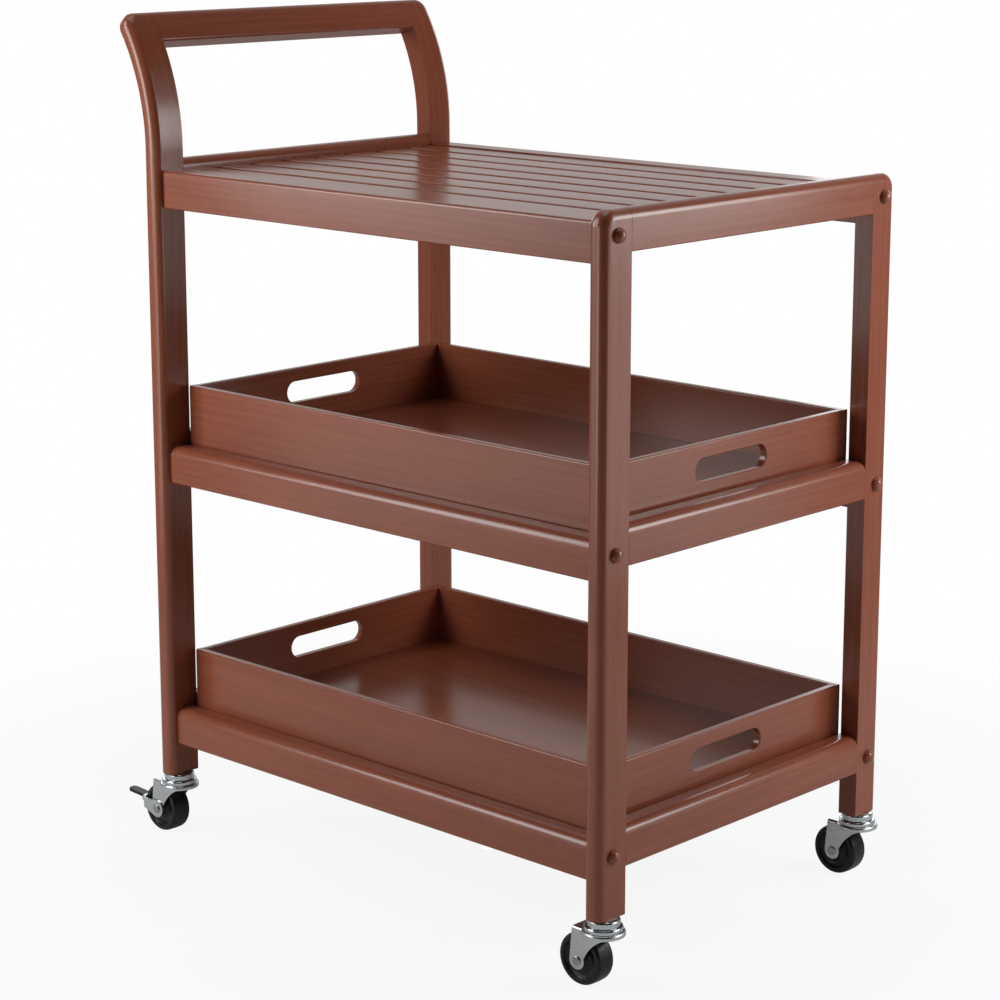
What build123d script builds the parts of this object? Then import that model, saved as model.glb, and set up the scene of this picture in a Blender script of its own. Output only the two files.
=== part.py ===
from build123d import *
import math
import os

os.makedirs("parts", exist_ok=True)

# A wooden serving cart on four swivel casters, in millimetres.
# X runs along the cart, with the handle at the low end and the plain end at the high end.
# Y runs across it, near side low and far side high. Z is up and the floor is at zero.
# The origin is on the floor, in the middle of the box that the cart fills as it stands.

# Frame
frame_length = 620.0
frame_width = 427.4
post_thickness = 21.0
post_width = 36.0
post_round_over = 8.5
post_corner_radius = 14.0
post_inner_edge = 0.3

# Handle end, where the two posts bend back and carry the grip
bend_start_rise = 10.5
bend_radius = 220.5
bend_sweep = 36.6
grip_depth = 35.0
grip_lower_edge = 3.0

# Rails across the two ends, flush with the posts
end_rail_thickness = 21.0
end_rail_depth = 38.0
end_rail_bottom = {"low": 116.0, "mid": 399.0, "top": 680.5}
end_rail_round_over = 10.0

# Rails along the two sides, set in from the outer faces of the posts and a little below the end rails
side_rail_recess = 8.6
side_rail_thickness = 21.0
deck_rail_thickness = 27.4
side_rail_depth = 38.0
side_rail_drop = {"low": 12.0, "mid": 13.0, "top": 10.2}
side_rail_round_over = 10.0
deck_rail_round_over = 3.0
small_edge = 1.0

# Glued tenons at the ends of the end rails and of the grip
tenon_thickness = 8.0
tenon_depth = 24.0
tenon_length = 10.0
tenon_gap = 0.1

# Deck slats and the battens under them
slat_count = 8
slat_gap = 6.5
slat_thickness = 12.0
slat_drop = 1.3
slat_end_gap = 0.3
slat_side_gap = 0.3
slat_edge = 1.2
batten_count = 4
batten_width = 28.0
batten_thickness = 18.0
batten_end_gap = 0.1

# Bolts that draw the side rails to the posts, their barrel nuts, plugs and dowels
bolt_height = 26.0
bolt_radius = 3.0
bolt_clearance = 0.3
bolt_reach = 42.0
bolt_head_radius = 6.0
bolt_head_height = 3.0
hex_recess_radius = 2.4
hex_recess_depth = 2.0
nut_setback = 34.0
nut_radius = 5.0
nut_length = 13.0
nut_clearance = 0.1
thread_clearance = 0.05
plug_radius = 7.0
plug_shank = 4.6
plug_proud = 4.5
plug_gap = 0.1
plug_bore_clearance = 0.1
dowel_height = 10.0
dowel_radius = 4.0
dowel_in_post = 10.0
dowel_in_rail = 20.0
dowel_clearance = 0.1

# Lift-out trays and the ledges they stand on
ledge_width = 15.0
ledge_thickness = 14.0
ledge_drop = 6.4
ledge_end_gap = 0.3
tray_side_clearance = 2.6
tray_end_clearance = 5.5
tray_height = 68.2
tray_wall = 8.0
tray_rim_edge = 1.5
tray_floor_lift = 3.0
tray_floor_thickness = 5.0
tray_groove_depth = 4.0
tray_groove_gap = 0.1
slot_length = 106.0
slot_height = 23.0
slot_below_rim = 25.5
slot_edge = 0.8

# Casters
caster_height = 70.0
caster_trail = 20.5
wheel_diameter = 50.9
wheel_width = 21.5
wheel_edge = 4.0
wheel_hub_radius = 8.0
wheel_rim_inner_radius = 18.0
wheel_side_recess = 2.2
wheel_bore_clearance = 0.05
stem_radius = 4.0
stem_length = 32.0
stem_tip_chamfer = 1.0
stem_clearance = 0.05
bowl_flange_radius = 12.5
bowl_upper_radius = 15.8
bowl_upper_drop = 1.6
bowl_upper_height = 5.2
bowl_groove_depth = 1.2
bowl_groove_height = 0.8
bowl_lower_radius = 18.4
bowl_lower_height = 4.1
bowl_ring_round = 1.8
bowl_sheet = 1.6
kingpin_radius = 5.0
kingpin_head_radius = 8.0
kingpin_head_height = 2.0
kingpin_clearance = 0.05
race_gap = 0.3
crown_radius = 20.6
crown_height = 4.6
fork_sheet = 2.0
fork_inner_bend = 0.4
fork_eye_radius = 8.8
fork_back_reach = 26.5
fork_front_sweep = 47.0
fork_front_start = 20.0
fork_wheel_gap = 1.1
axle_radius = 3.0
axle_hole_clearance = 0.05
axle_head_radius = 4.6
axle_head_height = 1.8
axle_head_edge = 1.2

# Brake on the two handle-end casters, a saddle on the axle and a cam pedal behind the wheel
saddle_sheet = 1.5
saddle_gap = 0.1
saddle_eye_radius = 9.3
saddle_ear_radius = 3.4
saddle_ear_spread = 8.0
saddle_bend_start = 21.0
saddle_bend_end = 27.0
saddle_bridge_sheet = 1.0
saddle_bend_radius = 3.0
pedal_pin_back = 28.6
pedal_pin_up = 3.6
pedal_pin_radius = 1.3
pedal_pin_clearance = 0.05
pedal_hub_radius = 2.2
pedal_cam_radius = 2.15
pedal_cam_throw = 1.1
pedal_cam_angle = -45.0
pedal_side_gap = 0.3
pedal_reach = 61.0
pedal_width = 11.0
pedal_thickness = 4.2
pedal_rise = 3.0

# Room left round a cutting shape, so that it passes the face it opens
cut_over = 1.0

# Stations along, across and up the cart
frame_mid_x = (caster_trail + pedal_reach - crown_radius) / 2
plain_face_x = frame_mid_x + frame_length / 2
handle_face_x = frame_mid_x - frame_length / 2
plain_inner_x = plain_face_x - post_thickness
handle_inner_x = handle_face_x + post_thickness
plain_post_x = plain_face_x - post_thickness / 2
handle_post_x = handle_face_x + post_thickness / 2
inner_span = plain_inner_x - handle_inner_x
post_outer_y = frame_width / 2
post_inner_y = post_outer_y - post_width
post_y = post_outer_y - post_width / 2
rail_outer_y = post_outer_y - side_rail_recess
rail_inner_y = rail_outer_y - side_rail_thickness
deck_inner_y = rail_outer_y - deck_rail_thickness
frame_top_z = end_rail_bottom["top"] + end_rail_depth
bend_start_z = frame_top_z + bend_start_rise
side_rail_bottom = {level: end_rail_bottom[level] - side_rail_drop[level] for level in end_rail_bottom}
deck_rail_top = side_rail_bottom["top"] + side_rail_depth
slat_top = deck_rail_top - slat_drop
slat_bottom = slat_top - slat_thickness
bend_centre_x = handle_post_x - bend_radius

ends = {"plain": 1, "handle": -1}
sides = {"near": -1, "far": 1}
levels = ["low", "mid", "top"]
tray_levels = ["low", "mid"]
touch = 0.001


def save(part, label):
    part.label = label
    export_step(part, f"parts/{label}.step")


def end_plane_x(end, depth):
    """The X of a plane that lies this deep inside the outer face of an end."""
    face = {"plain": plain_face_x, "handle": handle_face_x}[end]
    return face - ends[end] * depth


def depth_in_post(point):
    """How far a point lies from the middle of a handle post's thickness, on the bend too."""
    if point.Z <= bend_start_z:
        return point.X - handle_post_x
    return math.hypot(point.X - bend_centre_x, point.Z - bend_start_z) - bend_radius


def bend_frame(angle, y, normal_y):
    """A plane across the cart at an angle of the bend, with its x axis through the thickness."""
    turn = math.radians(angle)
    spot = (bend_centre_x + bend_radius * math.cos(turn), y, bend_start_z + bend_radius * math.sin(turn))
    return Plane(origin=spot, x_dir=(math.cos(turn), 0, math.sin(turn)), z_dir=(0, normal_y, 0))


grip_angle = math.degrees(grip_depth / bend_radius)
grip_mid_angle = bend_sweep - grip_angle / 2


def cut_mortises(end, side):
    """Mortises for the tenons of the end rails, in the inner face of a post."""
    across = Plane.XZ.offset(-sides[side] * post_inner_y)
    for level in levels:
        middle_z = end_rail_bottom[level] + end_rail_depth / 2
        with BuildSketch(across) as mortise:
            with Locations((end_plane_x(end, end_rail_thickness / 2), middle_z)):
                Rectangle(tenon_thickness + 2 * tenon_gap, tenon_depth + 2 * tenon_gap)
        depth = -sides[side] * (tenon_length + tenon_gap)
        extrude(mortise.sketch, amount=depth, mode=Mode.SUBTRACT)


def cut_bolt_holes(end, side):
    """Through holes for the bolts, wider behind the plugs, and blind holes for the dowels."""
    outer = Plane.YZ.offset(end_plane_x(end, 0))
    inner = Plane.YZ.offset(end_plane_x(end, post_thickness))
    inward = -ends[end]
    head_seat = plug_shank + plug_gap + bolt_head_height
    y = sides[side] * post_y
    for level in levels:
        bolt_z = side_rail_bottom[level] + bolt_height
        dowel_z = side_rail_bottom[level] + dowel_height
        with BuildSketch(outer) as shank_hole:
            with Locations((y, bolt_z)):
                Circle(bolt_radius + bolt_clearance)
        extrude(shank_hole.sketch, amount=inward * post_thickness, mode=Mode.SUBTRACT)
        with BuildSketch(outer) as plug_hole:
            with Locations((y, bolt_z)):
                Circle(plug_radius + plug_bore_clearance)
        extrude(plug_hole.sketch, amount=inward * head_seat, mode=Mode.SUBTRACT)
        with BuildSketch(inner) as dowel_hole:
            with Locations((y, dowel_z)):
                Circle(dowel_radius + dowel_clearance)
        depth = -inward * (dowel_in_post + dowel_clearance)
        extrude(dowel_hole.sketch, amount=depth, mode=Mode.SUBTRACT)


def cut_stem_bore(end, side):
    """Blind bore for a caster's stem, up into the foot of a post."""
    x = end_plane_x(end, post_thickness / 2)
    with BuildSketch(Plane.XY.offset(caster_height)) as bore:
        with Locations((x, sides[side] * post_y)):
            Circle(stem_radius + stem_clearance)
    extrude(bore.sketch, amount=stem_length + stem_clearance, mode=Mode.SUBTRACT)


def plain_post(side):
    """Straight post whose outer edges and top are rounded over in one run."""
    hand = sides[side]
    with BuildPart() as post:
        with BuildSketch(Plane.YZ.offset(plain_inner_x)) as front:
            with Locations((hand * post_y, (caster_height + frame_top_z) / 2)):
                Rectangle(post_width, frame_top_z - caster_height)
            corner = front.vertices().group_by(Axis.Y)[-1].sort_by(Axis.X)[-1 if hand > 0 else 0]
            fillet(corner, post_corner_radius)
        extrude(amount=post_thickness)
        rim = post.faces().filter_by(Axis.X).edges()
        outer = rim.filter_by(lambda e: e.center().Z > caster_height + touch)
        outer = outer.filter_by(lambda e: abs(e.center().Y - hand * post_inner_y) > touch)
        fillet(outer, post_round_over)
        inner = post.edges().filter_by(lambda e: abs(e.center().Y - hand * post_inner_y) < touch)
        chamfer(inner.filter_by(Axis.Z), post_inner_edge)
        cut_mortises("plain", side)
        cut_bolt_holes("plain", side)
        cut_stem_bore("plain", side)
    return post.part


def handle_post(side):
    """Post that bends back above the deck, rounded over along its outer edges and its top."""
    hand = sides[side]
    outer_y = hand * post_outer_y
    inner_y = hand * post_inner_y
    outer_radius = bend_radius + post_thickness / 2
    inner_radius = bend_radius - post_thickness / 2
    with BuildPart() as post:
        with BuildSketch(Plane.XZ.offset(-max(outer_y, inner_y))):
            with BuildLine():
                front = Line((handle_inner_x, caster_height), (handle_inner_x, bend_start_z))
                front_arc = CenterArc((bend_centre_x, bend_start_z), outer_radius, 0, bend_sweep)
                back_arc = CenterArc((bend_centre_x, bend_start_z), inner_radius, 0, bend_sweep)
                back = Line((handle_face_x, caster_height), (handle_face_x, bend_start_z))
                Line(front_arc @ 1, back_arc @ 1)
                Line(front @ 0, back @ 0)
            make_face()
        extrude(amount=post_width)
        top_corner = post.edges().filter_by(lambda e: abs(e.center().Y - outer_y) < touch).sort_by(Axis.Z)[-1]
        fillet(top_corner, post_corner_radius)

        def rounds_over(edge):
            middle = edge.position_at(0.5)
            on_face = abs(abs(depth_in_post(middle)) - post_thickness / 2) < touch
            seam = abs(middle.Z - bend_start_z) < touch and abs(middle.Y - outer_y) > touch
            inner = abs(middle.Y - inner_y) < touch
            foot = middle.Z < caster_height + touch
            return on_face and not seam and not inner and not foot

        fillet(post.edges().filter_by(rounds_over), post_round_over)
        inner = post.edges().filter_by(lambda e: abs(e.center().Y - inner_y) < touch)
        chamfer(inner.filter_by(Axis.Z), post_inner_edge)
        cut_mortises("handle", side)
        cut_bolt_holes("handle", side)
        cut_stem_bore("handle", side)
        with BuildSketch(bend_frame(grip_mid_angle, inner_y, hand)):
            Rectangle(tenon_thickness + 2 * tenon_gap, tenon_depth + 2 * tenon_gap)
        extrude(amount=tenon_length + tenon_gap, mode=Mode.SUBTRACT)
    return post.part


for side in sides:
    save(plain_post(side), f"post_plain_{side}")
    save(handle_post(side), f"post_handle_{side}")


# Grip across the top of the bent posts, rounded over where the hand goes
with BuildPart() as grip:
    with BuildSketch(Plane.XZ.offset(-post_inner_y)):
        with BuildLine():
            first_angle = bend_sweep - grip_angle
            grip_front = CenterArc(
                (bend_centre_x, bend_start_z), bend_radius + post_thickness / 2, first_angle, grip_angle
            )
            grip_back = CenterArc(
                (bend_centre_x, bend_start_z), bend_radius - post_thickness / 2, first_angle, grip_angle
            )
            Line(grip_front @ 0, grip_back @ 0)
            Line(grip_front @ 1, grip_back @ 1)
        make_face()
    extrude(amount=2 * post_inner_y)
    long_edges = grip.edges().filter_by(Axis.Y).sort_by(Axis.Z)
    fillet(long_edges[-2:], post_round_over)
    lower_edges = grip.edges().filter_by(Axis.Y).sort_by(Axis.Z)[:2]
    fillet(lower_edges, grip_lower_edge)
    for hand in sides.values():
        with BuildSketch(bend_frame(grip_mid_angle, hand * post_inner_y, hand)):
            Rectangle(tenon_thickness, tenon_depth)
        extrude(amount=tenon_length)
save(grip.part, "grip_rail")


def end_rail(end, level):
    """Rail across an end frame, with a tenon in each post."""
    bottom = end_rail_bottom[level]
    outer_x = end_plane_x(end, 0)
    inner_x = end_plane_x(end, end_rail_thickness)
    with BuildPart() as rail:
        with BuildSketch(Plane.XZ.offset(-post_inner_y)):
            with Locations(((outer_x + inner_x) / 2, bottom + end_rail_depth / 2)):
                Rectangle(end_rail_thickness, end_rail_depth)
        extrude(amount=2 * post_inner_y)
        long_edges = rail.edges().filter_by(Axis.Y)
        upper = long_edges.group_by(Axis.Z)[-1]
        if level == "top":
            fillet(upper, post_round_over)
        else:
            outer_edge = upper.sort_by(Axis.X)[-1 if end == "plain" else 0]
            fillet(outer_edge, end_rail_round_over)
        chamfer(rail.edges().filter_by(Axis.Y).group_by(Axis.Z)[0], small_edge)
        for hand in sides.values():
            with BuildSketch(Plane.XZ.offset(-hand * post_inner_y)):
                with Locations(((outer_x + inner_x) / 2, bottom + end_rail_depth / 2)):
                    Rectangle(tenon_thickness, tenon_depth)
            extrude(amount=-hand * tenon_length)
    return rail.part


for end in ends:
    for level in levels:
        save(end_rail(end, level), f"end_rail_{end}_{level}")


def side_rail(side, level):
    """Rail along a side, with holes at both ends for a bolt, a barrel nut and a dowel."""
    hand = sides[side]
    inner_y = deck_inner_y if level == "top" else rail_inner_y
    bottom = side_rail_bottom[level]
    bolt_z = bottom + bolt_height
    dowel_z = bottom + dowel_height
    with BuildPart() as rail:
        with BuildSketch(Plane.YZ.offset(handle_inner_x)):
            with Locations((hand * (rail_outer_y + inner_y) / 2, bottom + side_rail_depth / 2)):
                Rectangle(rail_outer_y - inner_y, side_rail_depth)
        extrude(amount=inner_span)
        long_edges = rail.edges().filter_by(Axis.X)
        outer_edge = long_edges.group_by(Axis.Z)[-1].sort_by(Axis.Y)[-1 if hand > 0 else 0]
        fillet(outer_edge, deck_rail_round_over if level == "top" else side_rail_round_over)
        chamfer(rail.edges().filter_by(Axis.X).group_by(Axis.Z)[0], small_edge)
        for start_x, way in ((handle_inner_x, 1), (plain_inner_x, -1)):
            with BuildSketch(Plane.YZ.offset(start_x)):
                with Locations((hand * post_y, bolt_z)):
                    Circle(bolt_radius + bolt_clearance)
            extrude(amount=way * (bolt_reach + cut_over), mode=Mode.SUBTRACT)
            with BuildSketch(Plane.YZ.offset(start_x)):
                with Locations((hand * post_y, dowel_z)):
                    Circle(dowel_radius + dowel_clearance)
            extrude(amount=way * (dowel_in_rail + dowel_clearance), mode=Mode.SUBTRACT)
            with BuildSketch(Plane.XZ.offset(-hand * inner_y)):
                with Locations((start_x + way * nut_setback, bolt_z)):
                    Circle(nut_radius + nut_clearance)
            nut_bore = post_y + nut_length / 2 + nut_clearance - inner_y
            extrude(amount=-hand * nut_bore, mode=Mode.SUBTRACT)
    return rail.part


for side in sides:
    for level in levels:
        save(side_rail(side, level), f"side_rail_{side}_{level}")


# Deck slats, laid along the cart with open gaps between them
slat_width = (2 * deck_inner_y - 2 * slat_side_gap - (slat_count - 1) * slat_gap) / slat_count
slat_pitch = slat_width + slat_gap
slat_length = inner_span - 2 * slat_end_gap
for number in range(slat_count):
    slat_y = (number - (slat_count - 1) / 2) * slat_pitch
    with BuildPart() as slat:
        with BuildSketch(Plane.YZ.offset(handle_inner_x + slat_end_gap)):
            with Locations((slat_y, (slat_top + slat_bottom) / 2)):
                Rectangle(slat_width, slat_thickness)
        extrude(amount=slat_length)
        fillet(slat.edges().filter_by(Axis.X).group_by(Axis.Z)[-1], slat_edge)
    save(slat.part, f"deck_slat_{number + 1}")


# Battens that carry the slats, from one side rail to the other
with BuildPart() as battens:
    batten_span = inner_span - batten_width
    with BuildSketch(Plane.XY.offset(slat_bottom)):
        with Locations((frame_mid_x, 0)):
            with GridLocations(batten_span / (batten_count - 1), 0, batten_count, 1):
                Rectangle(batten_width - 2 * batten_end_gap, 2 * (deck_inner_y - batten_end_gap))
    extrude(amount=-batten_thickness)
save(battens.part, "deck_battens")


# Ledges along the side rails, on which the trays stand
with BuildPart() as ledges:
    for level in tray_levels:
        ledge_top = side_rail_bottom[level] + side_rail_depth - ledge_drop
        with BuildSketch(Plane.XY.offset(ledge_top)):
            with Locations((frame_mid_x, 0)):
                with GridLocations(0, 2 * rail_inner_y - ledge_width, 1, 2):
                    Rectangle(inner_span - 2 * ledge_end_gap, ledge_width)
        extrude(amount=-ledge_thickness)
save(ledges.part, "tray_ledges")


# Bolts from the posts into the side rails, each with its barrel nut
with BuildPart() as bolts:
    for end in ends:
        head_face_x = end_plane_x(end, plug_shank + plug_gap)
        inward = -ends[end]
        for side in sides:
            for level in levels:
                spot = (sides[side] * post_y, side_rail_bottom[level] + bolt_height)
                with BuildSketch(Plane.YZ.offset(head_face_x)):
                    with Locations(spot):
                        Circle(bolt_head_radius)
                extrude(amount=inward * bolt_head_height)
                with BuildSketch(Plane.YZ.offset(head_face_x)):
                    with Locations(spot):
                        Circle(bolt_radius)
                shank = post_thickness - plug_shank - plug_gap + bolt_reach
                extrude(amount=inward * shank)
                with BuildSketch(Plane.YZ.offset(head_face_x)):
                    with Locations(spot):
                        RegularPolygon(hex_recess_radius, 6)
                extrude(amount=inward * hex_recess_depth, mode=Mode.SUBTRACT)

with BuildPart() as nuts:
    for end in ends:
        nut_x = end_plane_x(end, post_thickness + nut_setback)
        for side in sides:
            for level in levels:
                bolt_z = side_rail_bottom[level] + bolt_height
                middle_y = sides[side] * post_y
                with BuildSketch(Plane.XZ.offset(-middle_y)):
                    with Locations((nut_x, bolt_z)):
                        Circle(nut_radius)
                extrude(amount=nut_length / 2, both=True)
                with BuildSketch(Plane.YZ.offset(nut_x)):
                    with Locations((middle_y, bolt_z)):
                        Circle(bolt_radius + thread_clearance)
                extrude(amount=nut_radius + cut_over, both=True, mode=Mode.SUBTRACT)

save(Compound(children=[*bolts.part.solids(), *nuts.part.solids()]), "rail_bolts")


# Round plugs that close the bolt holes, domes on the outer faces of the posts
with BuildPart() as plugs:
    dome_radius = (plug_radius**2 + plug_proud**2) / (2 * plug_proud)
    for end in ends:
        face_x = end_plane_x(end, 0)
        outward = ends[end]
        for side in sides:
            for level in levels:
                plug_z = side_rail_bottom[level] + bolt_height
                middle_y = sides[side] * post_y
                with BuildSketch(Plane.XY.offset(plug_z)):
                    with BuildLine():
                        foot = (face_x - outward * plug_shank, middle_y)
                        foot_rim = (face_x - outward * plug_shank, middle_y + plug_radius)
                        rim = (face_x, middle_y + plug_radius)
                        peak = (face_x + outward * plug_proud, middle_y)
                        Polyline(peak, foot, foot_rim, rim)
                        RadiusArc(rim, peak, outward * dome_radius)
                    make_face()
                revolve(axis=Axis((face_x, middle_y, plug_z), (1, 0, 0)), revolution_arc=360)
save(plugs.part, "bolt_plugs")


# Dowels that stop the side rails turning on their bolts
with BuildPart() as dowels:
    for end in ends:
        start_x = end_plane_x(end, post_thickness - dowel_in_post)
        for side in sides:
            for level in levels:
                with BuildSketch(Plane.YZ.offset(start_x)):
                    with Locations((sides[side] * post_y, side_rail_bottom[level] + dowel_height)):
                        Circle(dowel_radius)
                extrude(amount=-ends[end] * (dowel_in_post + dowel_in_rail))
save(dowels.part, "rail_dowels")


# Trays, each of four walls grooved for a floor panel
tray_length = inner_span - 2 * tray_end_clearance
tray_width = 2 * (rail_inner_y - tray_side_clearance)
end_wall_span = tray_width - 2 * tray_wall
groove_low = tray_floor_lift - tray_groove_gap
groove_high = tray_floor_lift + tray_floor_thickness + tray_groove_gap


def tray_long_wall(side, base_z):
    """Long wall over the full length of the tray, grooved inside for the floor."""
    hand = sides[side]
    with BuildPart() as wall:
        with BuildSketch(Plane.YZ.offset(frame_mid_x - tray_length / 2)):
            with Locations((hand * (tray_width - tray_wall) / 2, base_z + tray_height / 2)):
                Rectangle(tray_wall, tray_height)
        extrude(amount=tray_length)
        fillet(wall.edges().filter_by(Axis.X).group_by(Axis.Z)[-1], tray_rim_edge)
        groove_y = hand * (end_wall_span + tray_groove_depth) / 2
        with BuildSketch(Plane.XY.offset(base_z + groove_low)):
            with Locations((frame_mid_x, groove_y)):
                Rectangle(tray_length - 2 * tray_wall + 2 * tray_groove_depth, tray_groove_depth)
        extrude(amount=groove_high - groove_low, mode=Mode.SUBTRACT)
    return wall.part


def tray_end_wall(end, base_z):
    """End wall between the long walls, with a long rounded hand hold."""
    hand = ends[end]
    outer_x = frame_mid_x + hand * tray_length / 2
    inner_x = outer_x - hand * tray_wall
    slot_z = base_z + tray_height - slot_below_rim
    with BuildPart() as wall:
        with BuildSketch(Plane.YZ.offset(min(outer_x, inner_x))):
            with Locations((0, base_z + tray_height / 2)):
                Rectangle(end_wall_span, tray_height)
            with Locations((0, slot_z)):
                SlotOverall(slot_length, slot_height, mode=Mode.SUBTRACT)
        extrude(amount=tray_wall)
        rim = wall.edges().filter_by(Axis.Y).group_by(Axis.Z)[-1]
        fillet(rim, tray_rim_edge)
        slot_low = slot_z - slot_height / 2 - touch
        slot_high = slot_z + slot_height / 2 + touch
        around = wall.faces().filter_by(Axis.X).edges()
        around = around.filter_by(lambda e: slot_low < e.center().Z < slot_high)
        around = around.filter_by(lambda e: abs(e.center().Y) < slot_length / 2)
        chamfer(around, slot_edge)
        with BuildSketch(Plane.XY.offset(base_z + groove_low)):
            with Locations((inner_x + hand * tray_groove_depth / 2, 0)):
                Rectangle(tray_groove_depth, end_wall_span)
        extrude(amount=groove_high - groove_low, mode=Mode.SUBTRACT)
    return wall.part


for level in tray_levels:
    tray_base = side_rail_bottom[level] + side_rail_depth - ledge_drop
    for side in sides:
        save(tray_long_wall(side, tray_base), f"tray_{level}_wall_{side}")
    for end in ends:
        save(tray_end_wall(end, tray_base), f"tray_{level}_wall_{end}")
    with BuildPart() as panel:
        with BuildSketch(Plane.XY.offset(tray_base + tray_floor_lift)):
            with Locations((frame_mid_x, 0)):
                reach = 2 * (tray_groove_depth - tray_groove_gap)
                Rectangle(tray_length - 2 * tray_wall + reach, end_wall_span + reach)
        extrude(amount=tray_floor_thickness)
    save(panel.part, f"tray_{level}_floor")


# Casters. Lengths below are measured from the swivel axis or from the wheel's axle.
wheel_radius = wheel_diameter / 2
axle_z = wheel_radius
upper_ring_top = caster_height - bowl_upper_drop
groove_top = upper_ring_top - bowl_upper_height
lower_ring_top = groove_top - bowl_groove_height
bowl_bottom = lower_ring_top - bowl_lower_height
crown_top = bowl_bottom - race_gap
crown_bottom = crown_top - crown_height
leg_inner_y = wheel_width / 2 + fork_wheel_gap
leg_outer_y = leg_inner_y + fork_sheet
saddle_inner_y = leg_outer_y + saddle_gap
saddle_outer_y = saddle_inner_y + saddle_sheet
pin_x = -caster_trail - pedal_pin_back
pin_z = axle_z + pedal_pin_up


def caster_mount(x, y):
    """Stem, stepped race bowl and kingpin, riveted into one and fixed in the foot of a post."""
    section = Plane(origin=(x, y, 0), x_dir=(1, 0, 0), z_dir=(0, -1, 0))
    stem_top = caster_height + stem_length
    inside_top = upper_ring_top - bowl_sheet
    groove_radius = bowl_upper_radius - bowl_groove_depth
    pin_bottom = crown_top - fork_sheet - kingpin_clearance
    with BuildPart() as mount:
        with BuildSketch(section) as profile:
            with BuildLine():
                Polyline(
                    (0, stem_top),
                    (stem_radius - stem_tip_chamfer, stem_top),
                    (stem_radius, stem_top - stem_tip_chamfer),
                    (stem_radius, caster_height),
                    (bowl_flange_radius, caster_height),
                    (bowl_upper_radius, upper_ring_top),
                    (bowl_upper_radius, groove_top),
                    (groove_radius, groove_top),
                    (groove_radius, lower_ring_top),
                    (bowl_lower_radius, lower_ring_top),
                    (bowl_lower_radius, bowl_bottom),
                    (bowl_lower_radius - bowl_sheet, bowl_bottom),
                    (bowl_lower_radius - bowl_sheet, lower_ring_top - bowl_sheet),
                    (groove_radius - bowl_sheet, lower_ring_top - bowl_sheet),
                    (groove_radius - bowl_sheet, inside_top),
                    (kingpin_radius, inside_top),
                    (kingpin_radius, pin_bottom),
                    (kingpin_head_radius, pin_bottom),
                    (kingpin_head_radius, pin_bottom - kingpin_head_height),
                    (0, pin_bottom - kingpin_head_height),
                    (0, stem_top),
                )
            make_face()
            rings = profile.vertices().filter_by(lambda v: v.X > bowl_upper_radius - touch)
            fillet(rings.group_by(Axis.Y)[-1] + rings.group_by(Axis.Y)[-3], bowl_ring_round)
        revolve(axis=Axis((x, y, 0), (0, 0, 1)), revolution_arc=360)
    return mount.part


def caster_fork(x, y):
    """Pressed fork, a bent channel trimmed to legs that sweep back to the axle, under a dished crown."""
    side_view = Plane(origin=(x, y, 0), x_dir=(1, 0, 0), z_dir=(0, -1, 0))
    top_view = Plane(origin=(x, y, crown_top), x_dir=(1, 0, 0), z_dir=(0, 0, 1))
    pin_hole = kingpin_radius + kingpin_clearance
    start = math.radians(fork_front_start)
    front_reach = math.sqrt((crown_radius - fork_sheet / 2) ** 2 - leg_outer_y**2)
    eye_back = (-caster_trail - fork_eye_radius, axle_z)
    eye_below = (-caster_trail, axle_z - fork_eye_radius)
    eye_front_x = -caster_trail + fork_eye_radius * math.cos(start)
    eye_front = (eye_front_x, axle_z + fork_eye_radius * math.sin(start))
    channel_back = -caster_trail - fork_eye_radius
    channel_height = crown_top - eye_below[1]
    with BuildPart() as fork:
        with BuildSketch(Plane(origin=(x + channel_back, y, crown_top), x_dir=(0, 1, 0), z_dir=(1, 0, 0))):
            with Locations((0, -channel_height / 2)):
                Rectangle(2 * leg_outer_y, channel_height)
            with Locations((0, -channel_height / 2 - fork_sheet)):
                Rectangle(2 * leg_inner_y, channel_height, mode=Mode.SUBTRACT)
        extrude(amount=front_reach - channel_back)
        outer_bends = fork.edges().filter_by(Axis.X).group_by(Axis.Z)[-1]
        fillet(outer_bends, fork_inner_bend + fork_sheet)
        inner_bends = fork.edges().filter_by(Axis.X)
        inner_bends = inner_bends.filter_by(lambda e: abs(e.center().Z - crown_top + fork_sheet) < touch)
        fillet(inner_bends, fork_inner_bend)
        with BuildSketch(side_view):
            with BuildLine():
                back = Line((-fork_back_reach, crown_top), eye_back)
                ThreePointArc(eye_back, eye_below, eye_front)
                RadiusArc(eye_front, (front_reach, crown_bottom), fork_front_sweep)
                Polyline((front_reach, crown_bottom), (front_reach, crown_top), back @ 0)
            make_face()
            with Locations((-caster_trail, axle_z)):
                Circle(axle_radius + axle_hole_clearance, mode=Mode.SUBTRACT)
        extrude(amount=leg_outer_y, both=True, mode=Mode.INTERSECT)
        with BuildSketch(side_view) as dish:
            with BuildLine():
                Polyline(
                    (pin_hole, crown_top),
                    (crown_radius, crown_top),
                    (crown_radius, crown_bottom),
                    (crown_radius - fork_sheet, crown_bottom),
                    (crown_radius - fork_sheet, crown_top - fork_sheet),
                    (pin_hole, crown_top - fork_sheet),
                    (pin_hole, crown_top),
                )
            make_face()
            shoulder = dish.vertices().group_by(Axis.Y)[-1].sort_by(Axis.X)[-1]
            fillet(shoulder, fork_inner_bend + fork_sheet)
        revolve(axis=Axis((x, y, 0), (0, 0, 1)), revolution_arc=360)
        with BuildSketch(top_view) as pin_bore:
            Circle(pin_hole)
        extrude(pin_bore.sketch, amount=-crown_height, mode=Mode.SUBTRACT)
    return fork.part


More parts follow.
